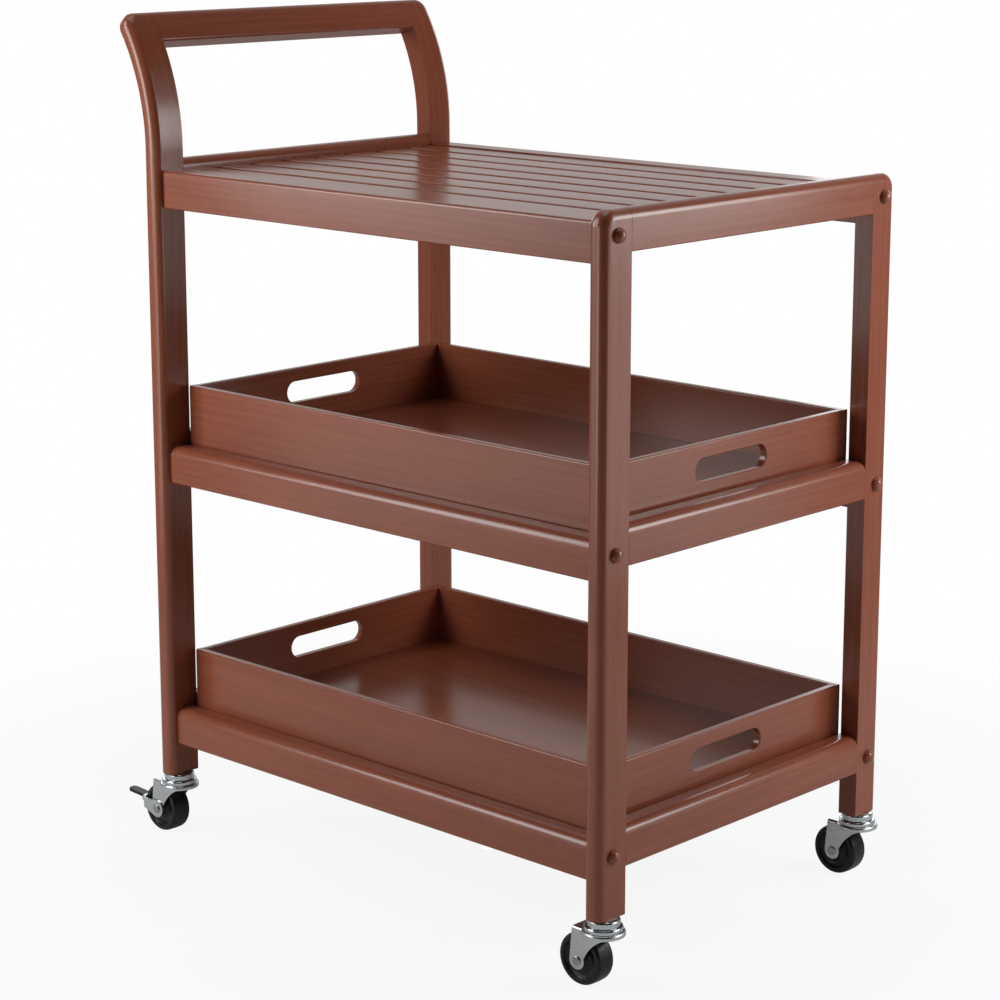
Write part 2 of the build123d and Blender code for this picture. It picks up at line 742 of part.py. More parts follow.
def caster_wheel(x, y):
    """Wheel with rounded tread edges, a dished side and a hub."""
    centre = (x - caster_trail, y, axle_z)
    section = Plane(origin=centre, x_dir=(0, 1, 0), z_dir=(1, 0, 0))
    half = wheel_width / 2
    with BuildPart() as wheel:
        with BuildSketch(section) as profile:
            with BuildLine():
                Polyline(
                    (-half, axle_radius + wheel_bore_clearance),
                    (-half, wheel_hub_radius),
                    (-half + wheel_side_recess, wheel_hub_radius + wheel_side_recess),
                    (-half + wheel_side_recess, wheel_rim_inner_radius - wheel_side_recess),
                    (-half, wheel_rim_inner_radius),
                    (-half, wheel_radius),
                    (half, wheel_radius),
                    (half, wheel_rim_inner_radius),
                    (half - wheel_side_recess, wheel_rim_inner_radius - wheel_side_recess),
                    (half - wheel_side_recess, wheel_hub_radius + wheel_side_recess),
                    (half, wheel_hub_radius),
                    (half, axle_radius + wheel_bore_clearance),
                    (-half, axle_radius + wheel_bore_clearance),
                )
            make_face()
            fillet(profile.vertices().group_by(Axis.Y)[-1], wheel_edge)
        revolve(axis=Axis(centre, (0, 1, 0)), revolution_arc=360)
    return wheel.part


def caster_axle(x, y, outer_y):
    """Riveted axle with a low head at each end, outside the given face."""
    centre = (x - caster_trail, y, axle_z)
    section = Plane(origin=centre, x_dir=(0, 1, 0), z_dir=(1, 0, 0))
    with BuildPart() as axle:
        with BuildSketch(section) as profile:
            with Locations((0, axle_radius / 2)):
                Rectangle(2 * outer_y, axle_radius)
            with Locations((outer_y + axle_head_height / 2, axle_head_radius / 2)):
                Rectangle(axle_head_height, axle_head_radius)
            with Locations((-outer_y - axle_head_height / 2, axle_head_radius / 2)):
                Rectangle(axle_head_height, axle_head_radius)
            rims = profile.vertices().group_by(Axis.Y)[-1].sort_by(Axis.X)
            fillet([rims[0], rims[-1]], axle_head_edge)
        revolve(axis=Axis(centre, (0, 1, 0)), revolution_arc=360)
    return axle.part


def brake_saddle(x, y):
    """Two cheeks on the axle that close in behind the wheel, joined by a bridge over the pedal."""
    axle_x = x - caster_trail
    ear_end = pedal_pin_back + saddle_ear_radius
    low = Plane(origin=(axle_x, y, axle_z - 2 * saddle_eye_radius), x_dir=(1, 0, 0), z_dir=(0, 0, 1))
    side_view = Plane(origin=(axle_x, y, axle_z), x_dir=(1, 0, 0), z_dir=(0, -1, 0))
    bridge_top = pedal_pin_up + saddle_ear_radius
    middle_y = (saddle_inner_y + saddle_outer_y) / 2
    with BuildPart() as saddle:
        for hand in sides.values():
            with BuildSketch(low):
                with BuildLine() as run:
                    FilletPolyline(
                        (saddle_eye_radius, hand * middle_y),
                        (-saddle_bend_start, hand * middle_y),
                        (-saddle_bend_end, hand * saddle_ear_spread),
                        (-ear_end, hand * saddle_ear_spread),
                        radius=saddle_bend_radius,
                    )
                trace(run.line, line_width=saddle_sheet)
            extrude(amount=4 * saddle_eye_radius)
        with BuildSketch(side_view):
            Circle(saddle_eye_radius)
            with Locations((-pedal_pin_back, pedal_pin_up)):
                Circle(saddle_ear_radius)
            make_hull()
            Circle(axle_radius + axle_hole_clearance, mode=Mode.SUBTRACT)
            with Locations((-pedal_pin_back, pedal_pin_up)):
                Circle(pedal_pin_radius + pedal_pin_clearance, mode=Mode.SUBTRACT)
        extrude(amount=saddle_outer_y + cut_over, both=True, mode=Mode.INTERSECT)
        with BuildSketch(side_view):
            with Locations((-pedal_pin_back, bridge_top - saddle_bridge_sheet / 2)):
                Rectangle(saddle_ear_radius, saddle_bridge_sheet)
        extrude(amount=saddle_ear_spread, both=True)
    return saddle.part


def brake_pedal(x, y):
    """Pedal with its pin and a cam that swings down onto the tread when it is pressed."""
    side_view = Plane(origin=(x + pin_x, y, pin_z), x_dir=(1, 0, 0), z_dir=(0, -1, 0))
    rise = math.radians(pedal_rise)
    along = Vector(math.cos(rise), 0, -math.sin(rise))
    above = Vector(math.sin(rise), 0, math.cos(rise))
    pin = Vector(x + pin_x, y, pin_z)
    pad_plane = Plane(origin=pin - above * (pedal_thickness / 2), x_dir=along, z_dir=above)
    hub_half = saddle_ear_spread - saddle_sheet / 2 - pedal_side_gap
    pin_half = saddle_ear_spread + saddle_sheet / 2
    turn = math.radians(pedal_cam_angle)
    pad_length = (pedal_reach - pedal_pin_back) / math.cos(rise)
    with BuildPart() as pedal:
        with BuildSketch(side_view):
            Circle(pedal_hub_radius)
            with Locations((pedal_cam_throw * math.cos(turn), pedal_cam_throw * math.sin(turn))):
                Circle(pedal_cam_radius)
        extrude(amount=hub_half, both=True)
        with BuildSketch(side_view):
            Circle(pedal_pin_radius)
        extrude(amount=pin_half, both=True)
        with BuildSketch(pad_plane) as pad:
            with Locations((-pad_length / 2, 0)):
                Rectangle(pad_length, pedal_width)
            fillet(pad.vertices().group_by(Axis.X)[0], pedal_width / 2 - touch)
        extrude(amount=pedal_thickness)
    return pedal.part


for end in ends:
    for side in sides:
        post_x = end_plane_x(end, post_thickness / 2)
        caster_y = sides[side] * post_y
        name = f"caster_{end}_{side}"
        save(caster_mount(post_x, caster_y), f"{name}_mount")
        save(caster_fork(post_x, caster_y), f"{name}_fork")
        save(caster_wheel(post_x, caster_y), f"{name}_wheel")
        if end == "handle":
            save(caster_axle(post_x, caster_y, saddle_outer_y), f"{name}_axle")
            save(brake_saddle(post_x, caster_y), f"{name}_saddle")
            save(brake_pedal(post_x, caster_y), f"{name}_pedal")
        else:
            save(caster_axle(post_x, caster_y, leg_outer_y), f"{name}_axle")
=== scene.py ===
import math

import bmesh
import bpy
import numpy as np
from bpy.props import FloatProperty, FloatVectorProperty, IntProperty, PointerProperty
from mathutils import Matrix, Vector


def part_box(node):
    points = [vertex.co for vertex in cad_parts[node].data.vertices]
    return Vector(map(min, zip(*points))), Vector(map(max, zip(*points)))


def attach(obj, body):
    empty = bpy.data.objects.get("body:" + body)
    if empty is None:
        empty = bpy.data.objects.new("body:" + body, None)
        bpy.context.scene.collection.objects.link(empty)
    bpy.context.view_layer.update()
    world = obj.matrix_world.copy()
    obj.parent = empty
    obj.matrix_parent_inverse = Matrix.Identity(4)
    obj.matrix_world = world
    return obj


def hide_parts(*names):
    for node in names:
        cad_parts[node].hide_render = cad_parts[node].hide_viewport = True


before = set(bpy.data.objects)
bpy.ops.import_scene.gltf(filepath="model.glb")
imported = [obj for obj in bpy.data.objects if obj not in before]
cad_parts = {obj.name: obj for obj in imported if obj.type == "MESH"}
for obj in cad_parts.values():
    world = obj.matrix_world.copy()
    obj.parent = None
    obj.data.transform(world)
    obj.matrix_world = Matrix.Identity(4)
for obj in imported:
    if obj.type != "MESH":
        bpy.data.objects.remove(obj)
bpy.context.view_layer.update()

bl_info = {
    "name": "Wooden bar cart",
    "version": (1, 0, 0),
    "blender": (4, 5, 0),
    "location": "3D View > Sidebar > Bar cart",
    "description": "Finishes a slatted serving cart with lift-out trays and swivel casters",
    "category": "Object",
}

MM = 0.001
ENDS = ("plain", "handle")
SIDES = ("near", "far")
LEVELS = ("low", "mid", "top")
TRAYS = ("low", "mid")

# The bend of the handle posts, as in the solids.
BEND_START = 729 * MM           # height where the bend starts
BEND_RADIUS = 220.5 * MM        # radius of the post's middle line
POST_HALF_DEPTH = 10.5 * MM

# Each board has a seed of its own, so no two show the same grain.
FIRST_FRAME_SEED = 1
FIRST_SLAT_SEED = 41
BATTEN_SEED = 60
LEDGE_SEED = 61
FIRST_TRAY_SEED = 70

# How much lighter or darker than the cart's own stain some pieces have come out.
SLAT_TONES = (1.0, 0.95, 1.04, 0.98, 1.03, 0.96, 1.02, 0.99)
PLUG_TONE = 1.04
DOWEL_TONE = 1.5
HIDDEN_TONE = 0.9
PLYWOOD_TONE = 0.95

# Noises in the timber: width and length of their marks, detail and roughness.
WARP = (50 * MM, 450 * MM, 2.0, 0.5)
STREAK = (2.2 * MM, 120 * MM, 2.0, 0.5)
BLOTCH = (70 * MM, 200 * MM, 3.0, 0.55)
PORE_DETAIL = (1.0, 0.5)        # detail and roughness only
NOISE_RANGE = (0.3, 0.7)        # where most of a noise's values lie

# The figure of a board.
GRAIN_SHIFT = 3.0               # how far its grain is moved about, in metres
HEART_DISTANCE = (60 * MM, 140 * MM)  # how far outside it the heart of its rings lies
HEART_TURN = 2.4                # how far the heart turns from seed to seed, in radians

# Stain and lacquer.
STREAK_SHARE = 0.84             # the streaks' share beside the rings
RAMP_PLACES = (0.15, 0.52, 0.86)  # of the dark, the main and the light stain
PORE_RANGE = (0.60, 0.74)       # the noise that counts as a pore, from faint to full
PORE_TINT = 0.22                # how strongly a pore tints
PORE_DEPTH = -0.8               # a pore's height beside a streak's
BLOTCH_SHADES = (0.92, 1.06)    # how a blotch darkens or lightens the stain
STREAKED = (-0.02, 0.03)        # how the streaks vary the roughness
TIMBER_RELIEF = (0.15, 0.06 * MM)  # strength and depth
VARNISH_IOR = 1.5

# Plated steel.
MARK_DETAIL = (3.0, 0.6)        # detail and roughness of the press marks
CLOUD_DETAIL = (2.0, 0.5)       # detail and roughness of the clouds in the plating
MARK_TO_CLOUD = 0.12            # size of a mark beside a cloud
PLATE_DARKEST = 0.82            # the darkest share of the tint
PLATE_ROUGHNESS = (0.8, 1.25)   # how the marks vary the roughness
BRIGHT_RELIEF = 0.12
SATIN_RELIEF = 0.3
TURNED_RELIEF = 0.1
MARK_DEPTH = 0.1 * MM

# Rubber and plastic.
SCUFF_DETAIL = (4.0, 0.6)       # detail and roughness of the scuffs
SCUFF_RANGE = (0.45, 0.75)      # the noise that counts as a scuff, from faint to full
SCUFF_GAIN = 1.5                # how much lighter a scuff is
SCUFF_DUST = 0.003              # and what its dust adds
SCUFF_ROUGHNESS = 0.2           # how much rougher a scuff is
SCUFF_RELIEF = 0.25
MOULDED_SHINE = 0.3             # reflects less than varnish, which has 0.5

# Computed surfaces.
WELD_DISTANCE = 0.001 * MM      # points nearer than this are one point
SHARP_ANGLE = math.radians(42)  # edges sharper than this stay crisp
SMALL_ARC = 5                   # points on a small rounding
EDGE_ARC = 12                   # on a slat's upper edge
SHOULDER_ARC = 10               # on a wheel's shoulder
CROWN_POINTS = 8                # from the edge to the middle of a crowned face
DOME_POINTS = 16                # from foot to top of a dome, or round half a pad's end
SLAT_POINTS = 40                # along a slat
PAD_POINTS = 7                  # along a pad
ROUND_POINTS = 48               # round a plug or a pad
HUB_POINTS = 96                 # round a pedal's hub

# Camera.
SENSOR_WIDTH = 36               # in millimetres
SIGHT = 100                     # how far it sees, in metres

# Light. A side lamp aims near the cart's middle, at a share of its own height and a bit more.
TOP_AIM = 400 * MM              # height at which the top lamp aims
SIDE_AIM_X = 100 * MM
SIDE_AIM_SHARE = 0.5
SIDE_AIM_RAISED = 250 * MM
REFLECTED_RANGE = (0.15, 0.75)  # cosines over which reflections go from dark to white

# Floor, in metres from the cart's middle.
FLOOR_RINGS = (0.01, 0.5, 1.2, 2.5, 6.0, 20.0)
FLOOR_TURNS = 64                # steps round it
FLOOR_FADE = (0.45, 1.1)        # the stretch over which it becomes quite white
FLOOR_WHITE = (0.90, 1.0)       # the share of white before and after that stretch
FLOOR_REFLECTED = 0.15          # the share of that white in reflections
WHITE = (1, 1, 1, 1)


def linear(code):
    """Linear red, green and blue of an sRGB colour written in hex."""
    parts = [int(code[start:start + 2], 16) / 255 for start in (1, 3, 5)]
    return tuple(p / 12.92 if p <= 0.04045 else ((p + 0.055) / 1.055) ** 2.4 for p in parts)


def colour(code, label, text):
    """A colour property whose default is an sRGB hex value."""
    return FloatVectorProperty(name=label, description=text, subtype="COLOR", size=3,
                               min=0, max=1, default=linear(code))


def length(millimetres, label, text):
    """A length property whose default is given in millimetres."""
    return FloatProperty(name=label, description=text, subtype="DISTANCE", unit="LENGTH",
                         min=0, default=millimetres * MM, precision=5)


def angle(degrees, label, text):
    """An angle property whose default is given in degrees."""
    return FloatProperty(name=label, description=text, subtype="ANGLE",
                         default=math.radians(degrees))


def share(default, label, text):
    """A property between nothing and one."""
    return FloatProperty(name=label, description=text, min=0, max=1, default=default)


def power(watts, label, text):
    """The power of one lamp, or of as many lamps as there are numbers."""
    if isinstance(watts, tuple):
        return FloatVectorProperty(name=label, description=text, size=len(watts), min=0,
                                   default=watts)
    return FloatProperty(name=label, description=text, min=0, default=watts)


def place(metres, label, text):
    """A place in metres, on the floor for two numbers and in space for three."""
    kind = {"subtype": "TRANSLATION", "unit": "LENGTH"} if len(metres) == 3 else {}
    return FloatVectorProperty(name=label, description=text, size=len(metres), default=metres,
                               **kind)


class CartTimber(bpy.types.PropertyGroup):
    """Colours and grain of the stained timber."""

    stain_mid: colour("#884A34", "Stain", "Main colour of the stained wood under its lacquer")
    stain_dark: colour("#81432F", "Dark grain", "Colour of the late wood between the rings")
    stain_light: colour("#8F513A", "Light grain", "Colour of the early wood")
    pore_colour: colour("#4A221A", "Pores", "Colour of the stain that has settled in the pores")
    ring_width: length(7.0, "Ring width", "Distance between two growth rings")
    ring_warp: length(9.0, "Ring warp", "How far the growth rings wander")
    pore_width: length(0.9, "Pore width", "Width of a pore, about three times that of beech")
    pore_length: length(16.0, "Pore length", "Length of a pore along the grain")
    roughness: share(0.22, "Roughness", "Roughness of the satin lacquer")
    shine: share(0.45, "Shine", "Strength of the lacquer's reflection, 0.5 for plain varnish")


class CartMetal(bpy.types.PropertyGroup):
    """Colours and finish of the casters' plated steel, rubber and plastic."""

    zinc: colour("#C6CCD0", "Bright zinc", "Colour of the polished rings over the swivel")
    zinc_roughness: share(0.11, "Bright roughness", "Roughness of the polished rings")
    fork: colour("#C8CCCE", "Satin zinc", "Colour of the pressed forks and brake saddles")
    fork_roughness: share(0.30, "Satin roughness", "Roughness of the pressed forks and saddles")
    steel: colour("#A5A8AC", "Steel", "Colour of the axles and bolts")
    steel_roughness: share(0.28, "Steel roughness", "Roughness of the axles and bolts")
    rubber: colour("#0E1013", "Wheel", "Colour of the hard rubber wheels")
    rubber_roughness: share(0.30, "Wheel roughness", "Roughness of the clean rubber")
    pedal: colour("#1E2124", "Pedal", "Colour of the moulded brake pedals")
    pedal_roughness: share(0.42, "Pedal roughness", "Roughness of the clean pedals")
    press_mark: length(2.4, "Press marks", "Size of the faint marks left by the press")
    scuff: length(3.0, "Scuffs", "Size of the scuffs on the treads, twice those on the pedals")


class CartStage(bpy.types.PropertyGroup):
    """Camera, lamps and floor."""

    camera_place: place((1.850844, -1.945652, 1.002986), "Camera", "Where the camera stands")
    camera_heading: angle(46.665, "Heading", "Angle from the low end of X towards Y")
    camera_pitch: angle(12.325, "Pitch", "How far the camera looks down")
    lens: FloatProperty(name="Lens", description="Focal length on a 36 mm wide sensor",
                        min=1, default=97.013)
    shift: FloatProperty(name="Shift", description="Vertical shift that frames the cart",
                         default=-0.04)
    heights: FloatVectorProperty(name="Lamp heights", size=3, min=0, unit="LENGTH",
                                 description="Heights of the three lamps of each column",
                                 default=(0.35, 0.85, 1.35))
    left_column: place((-0.685, -1.0), "Left column", "Where the left lamps stand")
    left_power: power((0.9, 6.2, 4.6), "Left power", "Watts of the left lamps, lowest first")
    right_column: place((1.095, 0.65), "Right column", "Where the right lamps stand")
    right_power: power((1.1, 7.6, 1.4), "Right power", "Watts of the right lamps, lowest first")
    low_left: place((-0.28, -1.39), "Low left", "Where the low lamp on the left stands")
    low_right: place((1.39, 0.2), "Low right", "Where the low lamp on the right stands")
    low_power: power((2.6, 1.8), "Low power", "Watts of the low left and the low right lamp")
    lamp_size: length(500, "Lamp size", "Width and height of each side lamp")
    back_angle: angle(150, "Back angle", "Angle at the cart from the camera to a back lamp")
    back_distance: length(2000, "Back distance", "How far the back lamps stand from the cart")
    back_height: length(1000, "Back height", "Height of the back lamps")
    back_size: length(1000, "Back size", "Width and height of each back lamp")
    back_power: power(6, "Back lamps", "Power of each back lamp in watts")
    top_height: length(2700, "Top height", "Height of the lamp overhead")
    top_size: length(1600, "Top size", "Width of the lamp overhead")
    top_power: power(14, "Top lamp", "Power of the lamp overhead in watts")
    fill: FloatProperty(name="Fill", description="Strength of the even light from all round",
                        min=0, default=0.01)
    mirrored: FloatProperty(name="Mirrored", min=0, default=0.66,
                            description="Strength of the white background in reflections")
    floor: colour("#DCDCDA", "Floor", "Colour of the plain pale floor")
    floor_roughness: share(0.9, "Floor roughness", "Roughness of the floor's paint")


class CartWheels(bpy.types.PropertyGroup):
    """Shape of the wheels."""

    bore: length(3.05, "Bore", "Radius of the hole for the axle")
    hub: length(8.0, "Hub", "Radius of the hub")
    dish: length(2.2, "Dish", "How deep the web lies beside the hub and the rim")
    groove: length(0.5, "Groove", "How much deeper the web lies between its steps")
    rim: length(6.4, "Rim", "Width of the rim on a wheel's side")
    lip: length(1.2, "Lip", "Width of the slope from the hub or the rim down to the web")
    hub_shelf: length(1.4, "Hub shelf", "Width of the web's upper step beside the hub")
    rim_shelf: length(1.6, "Rim shelf", "Width of the web's upper step beside the rim")
    slope: length(0.6, "Slope", "Width of the slope between the web's two steps")
    edge: length(0.6, "Edge", "Radius on the edges of the hub and the rim")
    shoulder: length(3.6, "Shoulder", "Radius between the tread and the side of a wheel")
    crown: length(0.25, "Crown", "How much higher the middle of the tread stands than its edges")
    segments: IntProperty(name="Segments", description="Steps round a wheel", min=24, default=96)


class CartJoinery(bpy.types.PropertyGroup):
    """Shape of the slats and of the plugs over the bolts."""

    slat_edge: length(2.4, "Slat edge", "Radius along a slat's upper edges")
    slat_foot: length(0.6, "Slat foot", "Radius along a slat's lower edges")
    slat_crown: length(0.15, "Slat crown", "How much higher a slat stands in the middle")
    slat_end: length(0.5, "Slat end", "Length over which a slat's ends are eased")
    plug_radius: length(7.0, "Plug radius", "Radius of a plug's dome")
    plug_proud: length(6.6, "Plug height", "How far a plug's dome stands proud of the post")
    plug_root: length(1.0, "Plug root", "How deep the dome's piece reaches into the post")
    plug_rise: length(26.0, "Bolt height", "Height of a bolt above the foot of its rail")


class CartPedals(bpy.types.PropertyGroup):
    """Shape of the moulded brake pedals."""

    half_width: length(5.5, "Half width", "Half the pad's width, and the radius of its end")
    half_depth: length(2.1, "Half thickness", "Half the thickness of the pad")
    rise: angle(3, "Rise", "How steeply the pad climbs from its pin")
    tip_round: length(1.7, "Tip", "Length over which the pad's thickness rounds off at its end")
    squareness: FloatProperty(name="Squareness", min=2, default=4.5,
                              description="Exponent of the pad's section, 2 for an ellipse")
    hub: length(2.2, "Hub", "Radius of the hub round the pin")
    cam: length(2.15, "Cam", "Radius of the cam that closes on the tread")
    throw: length(1.1, "Throw", "Distance between the middles of the hub and the cam")
    lean: angle(45, "Lean", "How far the cam's middle turns down from the front of the hub")
    pin: length(1.3, "Pin", "Radius of the pin")
    hub_edge: length(0.25, "Hub edge", "Chamfer on the ends of the pin and the hub")
    hub_gap: length(1.8, "Hub gap", "How much sooner the hub ends than the pin on each side")


# Nodes

def feed(node, sockets):
    """Gives each socket a constant, or links it to another node's output."""
    for key, value in sockets.items():
        if isinstance(value, bpy.types.NodeSocket):
            node.id_data.links.new(value, node.inputs[key])
        else:
            node.inputs[key].default_value = value


def add_node(tree, kind, sockets=None, **settings):
    """Adds a node, sets its properties and feeds its sockets."""
    node = tree.nodes.new(kind)
    for key, value in settings.items():
        setattr(node, key, value)
    feed(node, sockets or {})
    return node


def scalar(tree, operation, *values):
    """The result of a math node; each value is a constant or another node's output."""
    node = add_node(tree, "ShaderNodeMath", dict(enumerate(values)), operation=operation)
    return node.outputs["Value"]


def vector(tree, operation, *values):
    """The result of a vector math node, a number for a length or a dot product."""
    node = add_node(tree, "ShaderNodeVectorMath", dict(enumerate(values)), operation=operation)
    return node.outputs["Value" if operation in ("LENGTH", "DOT_PRODUCT") else "Vector"]


def remap(tree, value, start, stop=(0.0, 1.0), curve="LINEAR"):
    """A value carried over from one range to another, and held at its ends."""
    node = add_node(tree, "ShaderNodeMapRange", {
        "Value": value, "From Min": start[0], "From Max": start[1], "To Min": stop[0],
        "To Max": stop[1]}, interpolation_type=curve)
    return node.outputs["Result"]


def mix(tree, amount, first, second):
    """The first number giving way to the second by an amount."""
    node = add_node(tree, "ShaderNodeMix", {0: amount, 2: first, 3: second}, data_type="FLOAT")
    return node.outputs[0]


def mix_colours(tree, amount, first, second):
    """The first colour giving way to the second by an amount."""
    node = add_node(tree, "ShaderNodeMix", {0: amount, 6: first, 7: second}, data_type="RGBA")
    return node.outputs[2]


def noise(tree, where, size, detail, roughness):
    """A noise whose marks have about this size."""
    node = add_node(tree, "ShaderNodeTexNoise", {
        "Vector": where, "Scale": 1 / size, "Detail": detail, "Roughness": roughness})
    return node.outputs["Fac"]


def grain_noise(tree, where, axis, across, along, detail, roughness):
    """A noise stretched along the grain, with marks as wide and as long as these."""
    scale = [1 / across] * 3
    scale[axis] = 1 / along
    return noise(tree, vector(tree, "MULTIPLY", where, scale), 1.0, detail, roughness)


def bump(tree, height, strength, distance):
    """The surface's direction, leaned over by a fine relief."""
    node = add_node(tree, "ShaderNodeBump", {
        "Strength": strength, "Distance": distance, "Height": height})
    return node.outputs["Normal"]


# Materials

def start_material(name):
    """An empty node material with a shader and object coordinates."""
    material = bpy.data.materials.new(name)
    material.use_nodes = True
    tree = material.node_tree
    tree.nodes.clear()
    shader = add_node(tree, "ShaderNodeBsdfPrincipled")
    add_node(tree, "ShaderNodeOutputMaterial", {"Surface": shader.outputs["BSDF"]})
    where = add_node(tree, "ShaderNodeTexCoord").outputs["Object"]
    return material, tree, shader, where


def dress(node_name, material):
    """Gives every material slot of a CAD node this material."""
    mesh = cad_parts[node_name].data
    if not mesh.materials:
        mesh.materials.append(material)
    for index in range(len(mesh.materials)):
        mesh.materials[index] = material


def stained_timber(name, grain, seed, tone=1.0, bend=None):
    """Stained beech under a satin lacquer, planed and sanded: rings show as soft broad
    bands along the board, with short dark pores, and the lacquer keeps a soft sheen."""
    wood = bpy.context.scene.cart_timber
    material, tree, shader, where = start_material(name)
    if bend:
        where = unbend(tree, where, *bend)
    random = np.random.default_rng(seed)
    axis = "xyz".index(grain)
    moved = vector(tree, "ADD", where, tuple(random.uniform(-GRAIN_SHIFT, GRAIN_SHIFT, 3)))
    warp = grain_noise(tree, moved, axis, *WARP)
    streak = grain_noise(tree, moved, axis, *STREAK)
    blotch = grain_noise(tree, moved, axis, *BLOTCH)
    pore = grain_noise(tree, moved, axis, wood.pore_width, wood.pore_length, *PORE_DETAIL)
    rings = growth_rings(tree, where, warp, axis, random.uniform(*HEART_DISTANCE), seed)

    figure = mix(tree, STREAK_SHARE, rings, streak)
    ramp = add_node(tree, "ShaderNodeValToRGB", {"Fac": figure})
    first, last = ramp.color_ramp.elements
    first.position, middle, last.position = RAMP_PLACES
    first.color = (*wood.stain_dark, 1)
    last.color = (*wood.stain_light, 1)
    ramp.color_ramp.elements.new(middle).color = (*wood.stain_mid, 1)
    pores = remap(tree, pore, PORE_RANGE)
    pored = mix_colours(tree, scalar(tree, "MULTIPLY", pores, PORE_TINT), ramp.outputs["Color"],
                        (*wood.pore_colour, 1))
    shade = remap(tree, blotch, NOISE_RANGE, [tone * limit for limit in BLOTCH_SHADES])
    toned = add_node(tree, "ShaderNodeHueSaturation", {"Color": pored, "Value": shade})
    height = scalar(tree, "MULTIPLY_ADD", pores, PORE_DEPTH, streak)
    feed(shader, {
        "Base Color": toned.outputs["Color"],
        "Roughness": remap(tree, streak, NOISE_RANGE, [wood.roughness + part for part in STREAKED]),
        "Normal": bump(tree, height, *TIMBER_RELIEF),
        "IOR": VARNISH_IOR,
        "Specular IOR Level": wood.shine,
    })
    return material


def growth_rings(tree, where, warp, axis, distance, seed):
    """Rings round a heart outside the board that runs along the grain: the sine of the
    distance from the heart, moved by the warp, over the width of a ring. The warp counts
    twice, because most of its values lie within half of its range."""
    wood = bpy.context.scene.cart_timber
    heart = distance * np.array([math.cos(seed * HEART_TURN), math.sin(seed * HEART_TURN)])
    centre = tuple(np.insert(heart, axis, 0.0))
    flat = tuple(np.insert(np.ones(2), axis, 0.0))
    radius = vector(tree, "LENGTH", vector(tree, "MULTIPLY_ADD", where, flat, centre))
    wander = scalar(tree, "MULTIPLY_ADD", warp, wood.ring_warp * 2, radius)
    turns = scalar(tree, "MULTIPLY", wander, 2 * math.pi / wood.ring_width)
    return remap(tree, scalar(tree, "SINE", turns), (-1.0, 1.0), curve="SMOOTHSTEP")


def unbend(tree, where, centre_x, start_z, radius):
    """Straightens the bend of a handle post: above its start the height becomes the distance
    along the arc and X the distance from the bend's centre, so the grain follows it."""
    parts = add_node(tree, "ShaderNodeSeparateXYZ", {0: where})
    along_x = scalar(tree, "SUBTRACT", parts.outputs["X"], centre_x)
    along_z = scalar(tree, "SUBTRACT", parts.outputs["Z"], start_z)
    raised = scalar(tree, "MAXIMUM", along_z, 0.0)
    below = scalar(tree, "MINIMUM", along_z, 0.0)
    turned = scalar(tree, "ARCTAN2", raised, along_x)
    spoke = add_node(tree, "ShaderNodeCombineXYZ", {"X": along_x, "Y": raised})
    straight = add_node(tree, "ShaderNodeCombineXYZ", {
        "X": vector(tree, "LENGTH", spoke.outputs["Vector"]), "Y": parts.outputs["Y"],
        "Z": scalar(tree, "MULTIPLY_ADD", turned, radius, below)})
    return straight.outputs["Vector"]


def plated_steel(name, tint, roughness, mark, relief):
    """Zinc-plated pressed steel: a grey mirror, broken by the faint marks of the press."""
    material, tree, shader, where = start_material(name)
    fine = noise(tree, where, mark, *MARK_DETAIL)
    broad = noise(tree, where, mark / MARK_TO_CLOUD, *CLOUD_DETAIL)
    darkest = [part * PLATE_DARKEST for part in tint]
    feed(shader, {
        "Base Color": mix_colours(tree, broad, (*darkest, 1), (*tint, 1)),
        "Roughness": remap(tree, fine, NOISE_RANGE, [roughness * part for part in PLATE_ROUGHNESS]),
        "Normal": bump(tree, fine, relief, MARK_DEPTH),
        "Metallic": 1.0,
    })
    return material


def moulded(name, tint, roughness, scuff):
    """Moulded rubber or plastic: one deep colour, with dust and scuffs that dull it in places."""
    material, tree, shader, where = start_material(name)
    scuffs = noise(tree, where, scuff, *SCUFF_DETAIL)
    dusty = remap(tree, scuffs, SCUFF_RANGE)
    dust = [part * SCUFF_GAIN + SCUFF_DUST for part in tint]
    feed(shader, {
        "Base Color": mix_colours(tree, dusty, (*tint, 1), (*dust, 1)),
        "Roughness": remap(tree, dusty, (0.0, 1.0), (roughness, roughness + SCUFF_ROUGHNESS)),
        "Normal": bump(tree, scuffs, SCUFF_RELIEF, MARK_DEPTH),
        "IOR": VARNISH_IOR,
        "Specular IOR Level": MOULDED_SHINE,
    })
    return material


# Computed surfaces

def grid_piece(name, points, close_u=True, close_v=True):
    """A mesh from an array of points on a grid of two parameters, each row joined to the next;
    a closed parameter joins its last row to its first."""
    rows, columns = points.shape[:2]
    index = np.arange(rows * columns).reshape(rows, columns)
    next_row = np.roll(index, -1, 0)
    next_column = np.roll(index, -1, 1)
    corner = np.roll(next_row, -1, 1)
    quads = np.stack([index, next_row, corner, next_column], axis=-1)
    quads = quads[: rows if close_u else rows - 1, : columns if close_v else columns - 1]
    quads = quads.reshape(-1, 4)
    mesh = bpy.data.meshes.new(name)
    mesh.vertices.add(rows * columns)
    mesh.vertices.foreach_set("co", points.reshape(-1).astype(np.float32))
    mesh.loops.add(quads.size)
    mesh.loops.foreach_set("vertex_index", quads.reshape(-1).astype(np.int32))
    mesh.polygons.add(len(quads))
    mesh.polygons.foreach_set("loop_start", np.arange(0, quads.size, 4, dtype=np.int32))
    mesh.update(calc_edges=True)
    mesh.validate()
    mesh.shade_smooth()
    piece = bpy.data.objects.new(name, mesh)
    bpy.context.scene.collection.objects.link(piece)
    return piece


